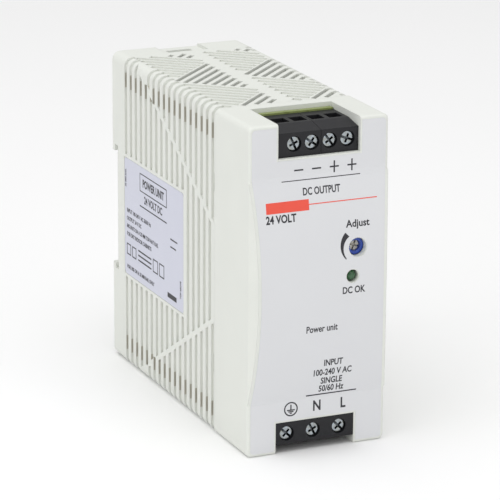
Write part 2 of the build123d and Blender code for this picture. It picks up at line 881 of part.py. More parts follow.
header_levels = (30.0, 60.0)
header_half = 6.35
header_height = 2.5
header_length = 5.5

with BuildPart() as board_header:
    for z in header_levels:
        box(stand(header_height), (board_back, board_back + header_length), about(z, header_half))
finish(board_header, "board_header")

# Transformer: two ferrite halves round a bobbin with its wound and taped coil
core_y = (-2.0, 22.0)
core_z = (33.0, 57.0)
core_lift = 3.0
core_height = 18.0
leg = 6.0
yoke = 4.0
coil_gap = 0.3
flange = 1.2
foot_inset = 2.0
core_x = stand(core_height, core_lift)
core_middle = sum(core_x) / 2
core_windows = ((core_x[0] + yoke, core_middle - leg / 2), (core_middle + leg / 2, core_x[1] - yoke))
coil_ranges = [(low + coil_gap, high - coil_gap) for low, high in core_windows]

with BuildPart() as transformer_core:
    box(core_x, core_y, core_z)
    window_y = (core_y[0] - past, core_y[1] + past)
    for window in core_windows:
        box(window, window_y, (core_z[0] + yoke, core_z[1] - yoke), Mode.SUBTRACT)
finish(transformer_core, "transformer_core")

with BuildPart() as transformer_bobbin:
    for z in (core_z[0] + yoke, core_z[1] - yoke - flange):
        for coil_x in coil_ranges:
            box(coil_x, core_y, (z, z + flange))
    foot_y = (core_y[0] + foot_inset, core_y[1] - foot_inset)
    box(stand(core_lift), foot_y, (core_z[0] + foot_inset, core_z[1] - foot_inset))
finish(transformer_bobbin, "transformer_bobbin")

with BuildPart() as transformer_winding:
    for coil_x in coil_ranges:
        box(coil_x, core_y, (core_z[0] + yoke + flange, core_z[1] - yoke - flange))
finish(transformer_winding, "transformer_winding")

can_edge = 0.6
bulk_radius = 9.0
bulk_height = 30.0
bulk_place = (-13.5, 16.0)
output_can_radius = 5.0
output_can_height = 20.0
output_can_y = -17.0
output_can_levels = (51.0, 63.0, 75.0)


def capacitor(radius, y, z, height):
    # Aluminium can standing on the board
    post(radius, y, z, stand(height))
    rims = edges(Select.LAST).filter_by(GeomType.CIRCLE)
    fillet(rims, radius=can_edge)


with BuildPart() as bulk_capacitor:
    capacitor(bulk_radius, *bulk_place, bulk_height)
finish(bulk_capacitor, "bulk_capacitor")

with BuildPart() as output_capacitors:
    for z in output_can_levels:
        capacitor(output_can_radius, output_can_y, z, output_can_height)
finish(output_capacitors, "output_capacitors")

film_box_height = 15.0
film_box_y = (22.0, 40.0)
film_box_z = (6.0, 14.5)
film_box_edge = 1.0

with BuildPart() as suppression_capacitor:
    box(stand(film_box_height), film_box_y, film_box_z)
    fillet(suppression_capacitor.edges().filter_by(Axis.X), radius=film_box_edge)
finish(suppression_capacitor, "suppression_capacitor")

disc_radius = 4.0
disc_half = 1.5
disc_lift = 5.5
disc_level = 58.0
disc_rows = (24.5, 30.5)

with BuildPart() as safety_capacitors:
    for y in disc_rows:
        rod(disc_radius, board_top + disc_lift, disc_level, about(y, disc_half))
finish(safety_capacitors, "safety_capacitors")

# Common-mode choke: a ring core on edge with a winding on each side
choke_y = (1.0, 17.0)
choke_radius = 9.0
choke_bore = 5.0
choke_lift = 10.5
choke_level = 17.0
wound_half = 3.0
wound_depth = 1.5
wound_x = stand(15.0, 3.0)

with BuildPart() as choke_core:
    rod(choke_radius, board_top + choke_lift, choke_level, choke_y)
    bore_y = (choke_y[0] - past, choke_y[1] + past)
    rod(choke_bore, board_top + choke_lift, choke_level, bore_y, Mode.SUBTRACT)
finish(choke_core, "choke_core")

with BuildPart() as choke_windings:
    for z in (choke_level - choke_radius + past, choke_level + choke_radius - past):
        box(wound_x, (choke_y[0] - wound_depth, choke_y[0]), about(z, wound_half))
        box(wound_x, (choke_y[1], choke_y[1] + wound_depth), about(z, wound_half))
finish(choke_windings, "choke_windings")

fuse_radius = 2.6
fuse_length = 20.0
fuse_lift = 3.2
fuse_y = 26.0
fuse_low = 18.0

with BuildPart() as input_fuse:
    with BuildSketch(Plane.XY.offset(fuse_low)):
        with Locations((board_top + fuse_lift, fuse_y)):
            Circle(fuse_radius)
    extrude(amount=fuse_length)
finish(input_fuse, "input_fuse")

thermistor_radius = 5.0
thermistor_lift = 7.0
thermistor_level = 22.0
thermistor_y = (33.0, 37.0)

with BuildPart() as inrush_thermistor:
    rod(thermistor_radius, board_top + thermistor_lift, thermistor_level, thermistor_y)
finish(inrush_thermistor, "inrush_thermistor")

bridge_lift = 3.0
bridge_height = 15.0
bridge_y = (29.0, 32.6)
bridge_z = (32.0, 52.0)
bridge_legs = (34.5, 39.5, 44.5, 49.5)
bridge_leg_half = 0.5

with BuildPart() as bridge_rectifier:
    box(stand(bridge_height, bridge_lift), bridge_y, bridge_z)
    for z in bridge_legs:
        leg_y = about(sum(bridge_y) / 2, bridge_leg_half)
        box(stand(bridge_lift), leg_y, about(z, bridge_leg_half))
finish(bridge_rectifier, "bridge_rectifier")

# Two aluminium heat sinks with their transistor and rectifier in TO-220 packages
sink_thickness = 2.0
sink_height = 26.0
sink_fins = 5
fin_thickness = 1.2
fin_depth = 4.0
transistor_y = 36.0
transistor_sink_z = (68.0, 84.0)
rectifier_y = 0.0
rectifier_sink_z = (60.0, 84.0)
package_half = 5.0
package_lift = 6.0
package_height = 9.0
package_tab = 1.3
package_depth = 4.4
tab_top = 15.5
package_leg_half = 0.4
package_leg_pitch = 2.54
fixing_radius = 2.6
fixing_lift = 18.5
fixing_height = 2.0


def heat_sink(y, z):
    with BuildPart() as sink:
        box(stand(sink_height), (y, y + sink_thickness), z)
        fin_pitch = (z[1] - z[0] - fin_thickness) / (sink_fins - 1)
        fin_y = (y + sink_thickness, y + sink_thickness + fin_depth)
        for k in range(sink_fins):
            fin_z = z[0] + k * fin_pitch
            box(stand(sink_height), fin_y, (fin_z, fin_z + fin_thickness))
    return sink


def power_package(y, z):
    # Plastic body, metal tab behind it and three legs
    with BuildPart() as package:
        case_y = (y - package_depth, y - package_tab)
        box(stand(package_height, package_lift), case_y, about(z, package_half))
        box(stand(tab_top, package_lift), (y - package_tab, y), about(z, package_half))
        for k in (-1, 0, 1):
            leg_z = about(z + k * package_leg_pitch, package_leg_half)
            box(stand(package_lift), about(y - package_depth / 2, package_leg_half), leg_z)
    return package


transistor_z = sum(transistor_sink_z) / 2
rectifier_z = sum(rectifier_sink_z) / 2
finish(heat_sink(transistor_y, transistor_sink_z), "transistor_heat_sink")
finish(heat_sink(rectifier_y, rectifier_sink_z), "rectifier_heat_sink")
finish(power_package(transistor_y, transistor_z), "switching_transistor")
finish(power_package(rectifier_y, rectifier_z), "output_rectifier")

with BuildPart() as heat_sink_screws:
    for y, z in ((transistor_y, transistor_z), (rectifier_y, rectifier_z)):
        tab_face = y - package_tab
        rod(fixing_radius, board_top + fixing_lift, z, (tab_face - fixing_height, tab_face))
finish(heat_sink_screws, "heat_sink_screws")

inductor_radius = 8.0
inductor_bore = 3.2
inductor_height = 9.0
inductor_place = (-13.0, 36.0)

with BuildPart() as output_inductor:
    post(inductor_radius, *inductor_place, stand(inductor_height))
    post(inductor_bore, *inductor_place, stand(inductor_height + 2 * past, -past), Mode.SUBTRACT)
finish(output_inductor, "output_inductor")

optocoupler_y = (9.0, 15.5)
optocoupler_z = (60.5, 65.0)
optocoupler_height = 3.5
chip_y = (18.0, 23.0)
chip_z = (68.0, 72.0)
chip_height = 1.6

with BuildPart() as optocoupler:
    box(stand(optocoupler_height), optocoupler_y, optocoupler_z)
finish(optocoupler, "optocoupler")

with BuildPart() as controller_chip:
    box(stand(chip_height), chip_y, chip_z)
finish(controller_chip, "controller_chip")
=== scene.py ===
import json
import math

import bmesh
import bpy
from mathutils import Matrix, Vector

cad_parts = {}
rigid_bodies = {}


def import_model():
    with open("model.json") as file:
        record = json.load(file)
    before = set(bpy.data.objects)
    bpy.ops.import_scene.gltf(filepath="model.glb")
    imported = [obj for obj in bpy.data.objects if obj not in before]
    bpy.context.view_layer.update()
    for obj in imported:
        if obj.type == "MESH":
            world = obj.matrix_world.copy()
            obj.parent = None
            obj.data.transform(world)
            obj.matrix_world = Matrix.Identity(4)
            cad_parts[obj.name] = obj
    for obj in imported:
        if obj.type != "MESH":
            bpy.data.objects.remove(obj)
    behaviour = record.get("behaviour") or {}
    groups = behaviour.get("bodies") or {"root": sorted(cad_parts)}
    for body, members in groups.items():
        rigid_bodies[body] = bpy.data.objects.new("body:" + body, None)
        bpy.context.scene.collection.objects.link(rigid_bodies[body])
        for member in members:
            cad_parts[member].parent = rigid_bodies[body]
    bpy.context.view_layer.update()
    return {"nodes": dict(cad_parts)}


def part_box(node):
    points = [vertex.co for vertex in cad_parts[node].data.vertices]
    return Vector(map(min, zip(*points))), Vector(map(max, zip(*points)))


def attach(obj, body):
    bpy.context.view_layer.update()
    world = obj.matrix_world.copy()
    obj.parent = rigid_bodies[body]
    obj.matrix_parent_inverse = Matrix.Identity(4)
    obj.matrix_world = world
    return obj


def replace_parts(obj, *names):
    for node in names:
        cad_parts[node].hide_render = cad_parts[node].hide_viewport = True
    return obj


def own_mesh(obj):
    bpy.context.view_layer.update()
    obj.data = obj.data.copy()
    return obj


for old in list(bpy.data.objects):
    bpy.data.objects.remove(old)
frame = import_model()
mm = 0.001
print("frame loaded:", len(frame["nodes"]), "pieces")


# Small tools

def linear(hexColour):
    # sRGB hex to the linear colour that the shaders work in
    parts = [int(hexColour[i:i + 2], 16) / 255 for i in (1, 3, 5)]
    return [c / 12.92 if c <= 0.04045 else ((c + 0.055) / 1.055) ** 2.4 for c in parts] + [1.0]


def addNode(tree, kind, inputs=None, **settings):
    node = tree.nodes.new(kind)
    for name, value in settings.items():
        setattr(node, name, value)
    for key, value in (inputs or {}).items():
        if isinstance(value, bpy.types.NodeSocket):
            tree.links.new(value, node.inputs[key])
        else:
            node.inputs[key].default_value = value
    return node


def newObject(name, mesh, material=None):
    obj = bpy.data.objects.new(name, mesh)
    bpy.context.scene.collection.objects.link(obj)
    if material:
        mesh.materials.clear()
        mesh.materials.append(material)
    return obj


def evaluatedMesh(obj):
    bpy.context.view_layer.update()
    graph = bpy.context.evaluated_depsgraph_get()
    return bpy.data.meshes.new_from_object(obj.evaluated_get(graph))


def bakeModifiers(obj):
    mesh = evaluatedMesh(obj)
    obj.modifiers.clear()
    obj.data = mesh
    return obj


def newTree(name, inputs):
    tree = bpy.data.node_groups.new(name, "GeometryNodeTree")
    for label, kind in inputs.items():
        tree.interface.new_socket(name=label, in_out="INPUT", socket_type="NodeSocket" + kind)
    tree.interface.new_socket(name="Geometry", in_out="OUTPUT", socket_type="NodeSocketGeometry")
    return tree, addNode(tree, "NodeGroupInput").outputs


def closeTree(tree, geometry, material):
    real = addNode(tree, "GeometryNodeRealizeInstances", {"Geometry": geometry})
    painted = addNode(tree, "GeometryNodeSetMaterial", {"Geometry": real.outputs[0], "Material": material})
    addNode(tree, "NodeGroupOutput", {"Geometry": painted.outputs[0]})


def grow(tree, name, values):
    # Run a node tree on an empty mesh and keep the plain result
    obj = newObject(name, bpy.data.meshes.new(name))
    modifier = obj.modifiers.new("nodes", "NODES")
    modifier.node_group = tree
    for item in tree.interface.items_tree:
        if item.in_out == "INPUT" and item.name in values:
            modifier[item.identifier] = values[item.name]
    return bakeModifiers(obj)


def smooth(obj, angle=35):
    for face in obj.data.polygons:
        face.use_smooth = True
    obj.data.set_sharp_from_angle(angle=math.radians(angle))


def roundEdges(obj, width, segments=2, angle=35):
    bevel = obj.modifiers.new("edge", "BEVEL")
    bevel.width = width
    bevel.segments = segments
    bevel.limit_method = "ANGLE"
    bevel.angle_limit = math.radians(angle)
    bakeModifiers(obj)
    smooth(obj)


def middle(node):
    low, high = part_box(node)
    return (low + high) / 2


# Finishes

def startMaterial(name):
    material = bpy.data.materials.new(name)
    material.use_nodes = True
    material.node_tree.nodes.clear()
    return material, material.node_tree


def place(tree):
    return addNode(tree, "ShaderNodeTexCoord").outputs["Object"]


def endMaterial(tree, shader):
    addNode(tree, "ShaderNodeOutputMaterial", {"Surface": shader.outputs[0]})


def recessShade(tree, colour, look):
    # Painted shade deep inside narrow slots: the colour darkens where ambient occlusion finds walls close by,
    # within a real reach in millimetres
    hollow = addNode(tree, "ShaderNodeAmbientOcclusion", {
        "Distance": look["reach"] * mm,
    }, samples=8, only_local=True)
    shade = addNode(tree, "ShaderNodeMapRange", {
        "Value": hollow.outputs["AO"], "From Min": look["darkAt"], "From Max": look["clearAt"],
        "To Min": look["soil"], "To Max": 0.0,
    })
    return addNode(tree, "ShaderNodeMix", {
        0: shade.outputs[0], 6: colour, 7: linear(look["shade"]),
    }, data_type="RGBA").outputs[2]


def ventShade(tree, colour, look):
    # Painted shade on the walls of the side vents. The place is folded twice, so one box covers both rows on
    # both sides
    spot = place(tree)
    for centre in look["ventFolds"]:
        spot = addNode(tree, "ShaderNodeVectorMath", {
            0: spot, 1: [value * mm for value in centre],
        }, operation="SUBTRACT").outputs[0]
        spot = addNode(tree, "ShaderNodeVectorMath", {0: spot}, operation="ABSOLUTE").outputs[0]
    amount = look["ventDust"]
    for side, half in zip(addNode(tree, "ShaderNodeSeparateXYZ", {"Vector": spot}).outputs, look["ventHalf"]):
        inside = addNode(tree, "ShaderNodeMath", {0: side, 1: half * mm}, operation="LESS_THAN").outputs[0]
        amount = addNode(tree, "ShaderNodeMath", {0: inside, 1: amount}, operation="MULTIPLY").outputs[0]
    return addNode(tree, "ShaderNodeMix", {
        0: amount, 6: colour, 7: linear(look["ventShade"]),
    }, data_type="RGBA").outputs[2]


def moulded(name, look):
    # Plastic from a mould: a fine even grain, slight cloudiness in the colour and softened edges
    material, tree = startMaterial(name)
    where = place(tree)
    cloud = addNode(tree, "ShaderNodeTexNoise", {
        "Vector": where, "Scale": 1 / (look["cloud"] * mm), "Detail": 2.0,
    }).outputs["Fac"]
    grain = addNode(tree, "ShaderNodeTexNoise", {
        "Vector": where, "Scale": 1 / (look["grain"] * mm), "Detail": 2.0,
    }).outputs["Fac"]
    colour = addNode(tree, "ShaderNodeMix", {
        0: cloud, 6: linear(look["light"]), 7: linear(look["dark"]),
    }, data_type="RGBA").outputs[2]
    flecks = addNode(tree, "ShaderNodeMapRange", {"Value": grain, "To Max": look["speckle"]}).outputs[0]
    colour = addNode(tree, "ShaderNodeMix", {
        0: flecks, 6: colour, 7: linear(look["fleck"]),
    }, data_type="RGBA").outputs[2]
    # Painted shade in narrow recesses and on the vent walls, where the look asks for it
    if "reach" in look:
        colour = recessShade(tree, colour, look)
    if "ventShade" in look:
        colour = ventShade(tree, colour, look)
    edge = addNode(tree, "ShaderNodeBevel", {"Radius": look["edge"] * mm}, samples=4)
    bump = addNode(tree, "ShaderNodeBump", {
        "Strength": 1.0, "Distance": look["depth"] * mm, "Height": grain, "Normal": edge.outputs[0],
    })
    shader = addNode(tree, "ShaderNodeBsdfPrincipled", {
        "Base Color": colour,
        "Roughness": addNode(tree, "ShaderNodeMapRange", {
            "Value": cloud, "To Min": look["rough"] - 0.04, "To Max": look["rough"] + 0.04,
        }).outputs[0],
        "IOR": look["ior"],
        "Normal": bump.outputs[0],
    })
    endMaterial(tree, shader)
    return material


def metal(name, look):
    # Bare or plated metal: a grain drawn out along one axis, and a roughness that wanders
    material, tree = startMaterial(name)
    stretched = addNode(tree, "ShaderNodeMapping", {"Vector": place(tree), "Scale": look["stretch"]})
    grain = addNode(tree, "ShaderNodeTexNoise", {
        "Vector": stretched.outputs[0], "Scale": 1 / (look["grain"] * mm), "Detail": 3.0,
    }).outputs["Fac"]
    cloud = addNode(tree, "ShaderNodeTexNoise", {
        "Vector": place(tree), "Scale": 1 / (look["cloud"] * mm), "Detail": 2.0,
    }).outputs["Fac"]
    colour = addNode(tree, "ShaderNodeMix", {
        0: cloud, 6: linear(look["light"]), 7: linear(look["dark"]),
    }, data_type="RGBA").outputs[2]
    # Painted shade deep in recesses, where the look asks for it
    if "reach" in look:
        colour = recessShade(tree, colour, look)
    shader = addNode(tree, "ShaderNodeBsdfPrincipled", {
        "Base Color": colour,
        "Metallic": 1.0,
        "Roughness": addNode(tree, "ShaderNodeMapRange", {
            "Value": cloud, "To Min": look["rough"] - 0.06, "To Max": look["rough"] + 0.08,
        }).outputs[0],
        "Normal": addNode(tree, "ShaderNodeBump", {
            "Strength": 1.0, "Distance": look["depth"] * mm, "Height": grain,
        }).outputs[0],
    })
    endMaterial(tree, shader)
    return material


def printed(name, look):
    # Film or ink: flat colour with a faint orange peel in the gloss
    material, tree = startMaterial(name)
    where = place(tree)
    cloud = addNode(tree, "ShaderNodeTexNoise", {
        "Vector": where, "Scale": 1 / (look["cloud"] * mm), "Detail": 2.0,
    }).outputs["Fac"]
    peel = addNode(tree, "ShaderNodeTexNoise", {
        "Vector": where, "Scale": 1 / (look["peel"] * mm), "Detail": 1.0,
    }).outputs["Fac"]
    shader = addNode(tree, "ShaderNodeBsdfPrincipled", {
        "Base Color": addNode(tree, "ShaderNodeMix", {
            0: cloud, 6: linear(look["light"]), 7: linear(look["dark"]),
        }, data_type="RGBA").outputs[2],
        "Roughness": addNode(tree, "ShaderNodeMapRange", {
            "Value": peel, "To Min": look["rough"] - 0.05, "To Max": look["rough"] + 0.05,
        }).outputs[0],
        "IOR": look["ior"],
        "Coat Weight": look["coat"],
        "Coat Roughness": 0.25,
        "Normal": addNode(tree, "ShaderNodeBump", {
            "Strength": 1.0, "Distance": look["depth"] * mm, "Height": peel,
        }).outputs[0],
    })
    endMaterial(tree, shader)
    return material


def plastic(light, dark, **changes):
    look = {
        "light": light, "dark": dark, "fleck": dark, "cloud": 14.0, "grain": 0.4, "speckle": 0.3,
        "edge": 0.2, "depth": 0.01, "rough": 0.5, "ior": 1.5,
    }
    look.update(changes)
    return look


# Light grey ABS from a spark-eroded mould: matt, with a fine even sand grain that dulls highlights
# Its narrow slots and grooves get painted shade, and the side vent walls a painted shade of their own
sparkErodedAbs = moulded("sparkErodedAbs", plastic(
    "#E6E8E2", "#E0E2DC", fleck="#D9DCD5", grain=0.35, depth=0.012, edge=0.35, rough=0.58, ior=1.52,
    reach=2.5, darkAt=0.05, clearAt=0.5, soil=0.3, shade="#B5B2A4", ventShade="#B9B5A6", ventDust=0.85,
    ventFolds=((0.0, 9.0, 45.0), (0.0, 0.0, 38.7)), ventHalf=(19.93, 33.5, 2.1),
))
# Same grey in nylon for the spring foot: a little waxier and warmer
lightGreyNylon = moulded("lightGreyNylon", plastic("#D9DAD6", "#CFD1CC", rough=0.42, ior=1.53, edge=0.3))
# Black polyamide with glass fibre: dark, half gloss, faint grey flow marks
glassFilledPolyamide = moulded("glassFilledPolyamide", plastic(
    "#121216", "#0D0D10", fleck="#2A2A31", cloud=3.0, grain=0.3, speckle=0.3, depth=0.008,
    edge=0.25, rough=0.46, ior=1.42,
))
# Blue thermoset of the trimmer case: glossy and deep in colour
blueThermoset = moulded("blueThermoset", plastic("#2D52B4", "#2342A0", rough=0.3, ior=1.55, edge=0.12))
# Cream nylon of the trimmer's rotor
# Painted shade, near black, deep in the rotor's cross recess
creamNylon = moulded("creamNylon", plastic(
    "#D8D4C8", "#C4C0B2", rough=0.4, ior=1.53, edge=0.1,
    reach=0.8, darkAt=0.15, clearAt=0.7, soil=0.9, shade="#2B2823",
))
whiteNylon = moulded("whiteNylon", plastic("#E9E7DE", "#DEDCD2", rough=0.45, ior=1.53))
phenolicBobbin = moulded("phenolicBobbin", plastic("#2F2B27", "#241F1B", rough=0.5))
yellowFilmBox = moulded("yellowFilmBox", plastic("#D9B53C", "#CBA62F", rough=0.35))
blueDipEpoxy = moulded("blueDipEpoxy", plastic("#2E62A6", "#245293", rough=0.25, grain=0.8, depth=0.03))
greenDipEpoxy = moulded("greenDipEpoxy", plastic("#3D5A3B", "#304A30", rough=0.35, grain=0.8, depth=0.03))
brownDipEpoxy = moulded("brownDipEpoxy", plastic("#6B3A22", "#59301D", rough=0.3, grain=0.8, depth=0.03))
blackMouldEpoxy = moulded("blackMouldEpoxy", plastic("#1E1E1F", "#161617", rough=0.5, depth=0.015))
# Sintered ferrite: dull charcoal with a gritty ground face
sinteredFerrite = moulded("sinteredFerrite", plastic(
    "#3A3A3C", "#2C2C2E", fleck="#505052", grain=0.5, depth=0.03, rough=0.7, speckle=0.6,
))
# Heat-shrunk sleeve of the capacitors: dark, tight and slightly shiny
shrinkSleeve = moulded("shrinkSleeve", plastic("#25242B", "#1B1A20", rough=0.28, depth=0.006))
# Yellow polyester tape round the transformer
polyesterTape = moulded("polyesterTape", plastic("#E0C04A", "#CFAE38", rough=0.25, cloud=6.0))
# Grey insulating paper
pressboard = moulded("pressboard", plastic("#C9C2AE", "#B8B09A", rough=0.8, grain=0.6, depth=0.03))

# Zinc-plated, clear-chromated screw steel: bright with a blue and a faint yellow cast
# Painted shade, near black, deep in the head's slot and cross recess
zincPlate = metal("zincPlate", {
    "light": "#BAC8DA", "dark": "#8C8669", "cloud": 0.8, "grain": 0.25, "stretch": (1, 1, 1),
    "depth": 0.014, "rough": 0.2, "reach": 1.6, "darkAt": 0.4, "clearAt": 0.93, "soil": 0.95,
    "shade": "#1E2228",
})
# Hot-tinned copper alloy of contacts and leads
tinnedCopper = metal("tinnedCopper", {
    "light": "#D3D2CB", "dark": "#BDBBB2", "cloud": 1.5, "grain": 0.4, "stretch": (1, 1, 1),
    "depth": 0.01, "rough": 0.3,
})
# Drawn spring wire: darker, with die lines along it
springWire = metal("springWire", {
    "light": "#A9ABAF", "dark": "#8C8E93", "cloud": 2.0, "grain": 0.2, "stretch": (1, 1, 0.2),
    "depth": 0.006, "rough": 0.28,
})
# Extruded aluminium of the heat sinks: long die lines
extrudedAluminium = metal("extrudedAluminium", {
    "light": "#CDD0D3", "dark": "#B9BCC0", "cloud": 5.0, "grain": 0.25, "stretch": (0.08, 1, 1),
    "depth": 0.015, "rough": 0.35,
})
# Enamelled copper wire: a clear amber varnish over copper
enamelledCopper = metal("enamelledCopper", {
    "light": "#C9743A", "dark": "#A9582A", "cloud": 1.5, "grain": 0.3, "stretch": (1, 1, 1),
    "depth": 0.01, "rough": 0.25,
})

# Satin polycarbonate front film: smooth, cool grey, a soft wide highlight
satinFilm = printed("satinPolycarbonateFilm", {
    "light": "#DDDEE0", "dark": "#D9DADD", "cloud": 20.0, "peel": 0.8, "rough": 0.42, "ior": 1.58,
    "coat": 0.0, "depth": 0.004,
})
# Polyester rating plate: smoother and bluer than the housing
glossPlate = printed("silverPolyesterPlate", {
    "light": "#CDCFDD", "dark": "#C8CAD9", "cloud": 15.0, "peel": 1.2, "rough": 0.34, "ior": 1.6,
    "coat": 0.1, "depth": 0.004,
})
# Screen-printed inks: matt, dark grey and tomato red
greyInk = printed("darkScreenInk", {
    "light": "#2B2A31", "dark": "#242329", "cloud": 1.5, "peel": 0.3, "rough": 0.5, "ior": 1.5,
    "coat": 0.0, "depth": 0.002,
})
redInk = printed("redScreenInk", {
    "light": "#EE5744", "dark": "#E9503E", "cloud": 3.0, "peel": 0.3, "rough": 0.45, "ior": 1.5,
    "coat": 0.0, "depth": 0.002,
})


def makeLampEpoxy():
    # Tinted clear epoxy of the lamp: dark green body with a wet highlight
    material, tree = startMaterial("greenLampEpoxy")
    cloud = addNode(tree, "ShaderNodeTexNoise", {
        "Vector": place(tree), "Scale": 1 / (1.0 * mm), "Detail": 2.0,
    }).outputs["Fac"]
    shader = addNode(tree, "ShaderNodeBsdfPrincipled", {
        "Base Color": addNode(tree, "ShaderNodeMix", {
            0: cloud, 6: linear("#2F6B3C"), 7: linear("#24552F"),
        }, data_type="RGBA").outputs[2],
        "Roughness": addNode(tree, "ShaderNodeMapRange", {
            "Value": cloud, "To Min": 0.08, "To Max": 0.2,
        }).outputs[0],
        "IOR": 1.54,
        "Transmission Weight": 0.25,
        "Coat Weight": 0.4,
    })
    endMaterial(tree, shader)
    return material


def makeLaminate():
    # Glass-epoxy board under green solder mask: the weave shows faintly and tracks stand in relief
    material, tree = startMaterial("solderMaskLaminate")
    where = place(tree)
    weave = addNode(tree, "ShaderNodeTexChecker", {"Vector": where, "Scale": 1 / (0.5 * mm)})
    tracks = addNode(tree, "ShaderNodeTexVoronoi", {
        "Vector": where, "Scale": 1 / (3.0 * mm),
    }, distance="MANHATTAN")
    step = addNode(tree, "ShaderNodeMapRange", {
        "Value": tracks.outputs["Distance"], "From Min": 0.45, "From Max": 0.5,
    })
    mask = addNode(tree, "ShaderNodeMix", {
        0: step.outputs[0], 6: linear("#7E8A4C"), 7: linear("#8C985A"),
    }, data_type="RGBA").outputs[2]
    threads = addNode(tree, "ShaderNodeMapRange", {"Value": weave.outputs["Fac"], "To Max": 0.12}).outputs[0]
    cloud = addNode(tree, "ShaderNodeTexNoise", {
        "Vector": where, "Scale": 1 / (2.0 * mm), "Detail": 3.0,
    }).outputs["Fac"]
    shader = addNode(tree, "ShaderNodeBsdfPrincipled", {
        "Base Color": addNode(tree, "ShaderNodeMix", {
            0: threads, 6: mask, 7: linear("#5B6634"),
        }, data_type="RGBA").outputs[2],
        "Roughness": addNode(tree, "ShaderNodeMapRange", {
            "Value": cloud, "To Min": 0.3, "To Max": 0.45,
        }).outputs[0],
        "IOR": 1.55,
        "Normal": addNode(tree, "ShaderNodeBump", {
            "Strength": 1.0, "Distance": 0.03 * mm, "Height": step.outputs[0],
        }).outputs[0],
    })
    endMaterial(tree, shader)
    return material


lampEpoxy = makeLampEpoxy()
laminate = makeLaminate()
slotFinishes = {
    "housing_plastic": sparkErodedAbs,
    "label_film": satinFilm,
    "plate_film": glossPlate,
    "latch_plastic": lightGreyNylon,
    "spring_steel": springWire,
    "block_plastic": glassFilledPolyamide,
    "zinc_steel": zincPlate,
    "tinned_metal": tinnedCopper,
    "board_laminate": laminate,
    "trimmer_blue": blueThermoset,
    "trimmer_cream": creamNylon,
    "lamp_green": lampEpoxy,
    "nylon_white": whiteNylon,
    "ferrite": sinteredFerrite,
    "bobbin_plastic": phenolicBobbin,
    "winding_tape": polyesterTape,
    "sleeve_black": shrinkSleeve,
    "film_yellow": yellowFilmBox,
    "ceramic_blue": blueDipEpoxy,
    "disc_green": greenDipEpoxy,
    "fuse_brown": brownDipEpoxy,
    "epoxy_black": blackMouldEpoxy,
    "sink_aluminium": extrudedAluminium,
    "enamelled_copper": enamelledCopper,
    "sheet_insulation": pressboard,
}
for node in frame["nodes"].values():
    for entry in node.material_slots:
        entry.material = slotFinishes[entry.material.name.split(".")[0]]
print("finishes given:", len(slotFinishes))


# Front film and its print. The crown is an arc seen from the side, and the film follows it.

front = {
    "crownLow": 14.5, "crownHigh": 75.5, "crownRise": 3.35, "lean": 1.6 / 3.5,
    "filmThickness": 0.1, "filmDrop": 0.04, "inkThickness": 0.02,
    "corner": 1.0, "notchGap": 0.5, "slice": 2.0,
}
labelLow, labelHigh = (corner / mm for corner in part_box("front_label"))
crownMiddle = (front["crownLow"] + front["crownHigh"]) / 2
crownHalf = (front["crownHigh"] - front["crownLow"]) / 2
crownRadius = (crownHalf ** 2 + front["crownRise"] ** 2) / (2 * front["crownRise"])
flatY = labelLow.y + front["crownRise"]


def crownY(z):
    # Outer face of the CAD film at a height, in millimetres
    reach = abs(z - crownMiddle)
    if reach >= crownHalf:
        return flatY
    return labelLow.y + crownRadius - math.sqrt(crownRadius ** 2 - reach ** 2)


def filmHalf(z):
    return labelHigh.x - front["lean"] * (flatY - crownY(z))


def flatShape(name, loops, thickness):
    # A flat plate with holes, from closed outlines in millimetres
    curve = bpy.data.curves.new(name, "CURVE")
    curve.dimensions = "2D"
    curve.fill_mode = "BOTH"
    curve.extrude = thickness / 2
    for loop in loops:
        spline = curve.splines.new("POLY")
        spline.points.add(len(loop) - 1)
        for point, (x, y) in zip(spline.points, loop):
            point.co = (x, y, 0, 1)
        spline.use_cyclic_u = True
    obj = bpy.data.objects.new(name, curve)
    bpy.context.scene.collection.objects.link(obj)
    mesh = evaluatedMesh(obj)
    bpy.data.objects.remove(obj)
    return mesh


def textShape(words, size, x, y, width=0.78, weight=0.0, align="CENTER", turn=0.0):
    # Lettering as a thin closed mesh, narrowed like a condensed face
    curve = bpy.data.curves.new(words, "FONT")
    curve.body = words
    curve.size = size
    curve.align_x = align
    curve.align_y = "CENTER"
    curve.offset = weight
    curve.extrude = front["inkThickness"] / 2
    curve.resolution_u = 3
    obj = bpy.data.objects.new(words, curve)
    bpy.context.scene.collection.objects.link(obj)
    mesh = evaluatedMesh(obj)
    bpy.data.objects.remove(obj)
    laid = Matrix.Translation((x, y, 0)) @ Matrix.Rotation(turn, 4, "Z") @ Matrix.Diagonal((width, 1, 1, 1))
    mesh.transform(laid)
    return mesh


def bar(x0, x1, y0, y1):
    return flatShape("bar", [[(x0, y0), (x1, y0), (x1, y1), (x0, y1)]], front["inkThickness"])


def ring(x, y, radius, width, points=40):
    turn = [2 * math.pi * k / points for k in range(points)]
    outer = [(x + radius * math.cos(a), y + radius * math.sin(a)) for a in turn]
    inner = [(x + (radius - width) * math.cos(a), y + (radius - width) * math.sin(a)) for a in turn]
    return flatShape("ring", [outer, inner], front["inkThickness"])


def join(name, meshes, material):
    whole = bmesh.new()
    for mesh in meshes:
        whole.from_mesh(mesh)
    bmesh.ops.remove_doubles(whole, verts=whole.verts, dist=1e-5)
    result = bpy.data.meshes.new(name)
    whole.to_mesh(result)
    whole.free()
    return newObject(name, result, material)


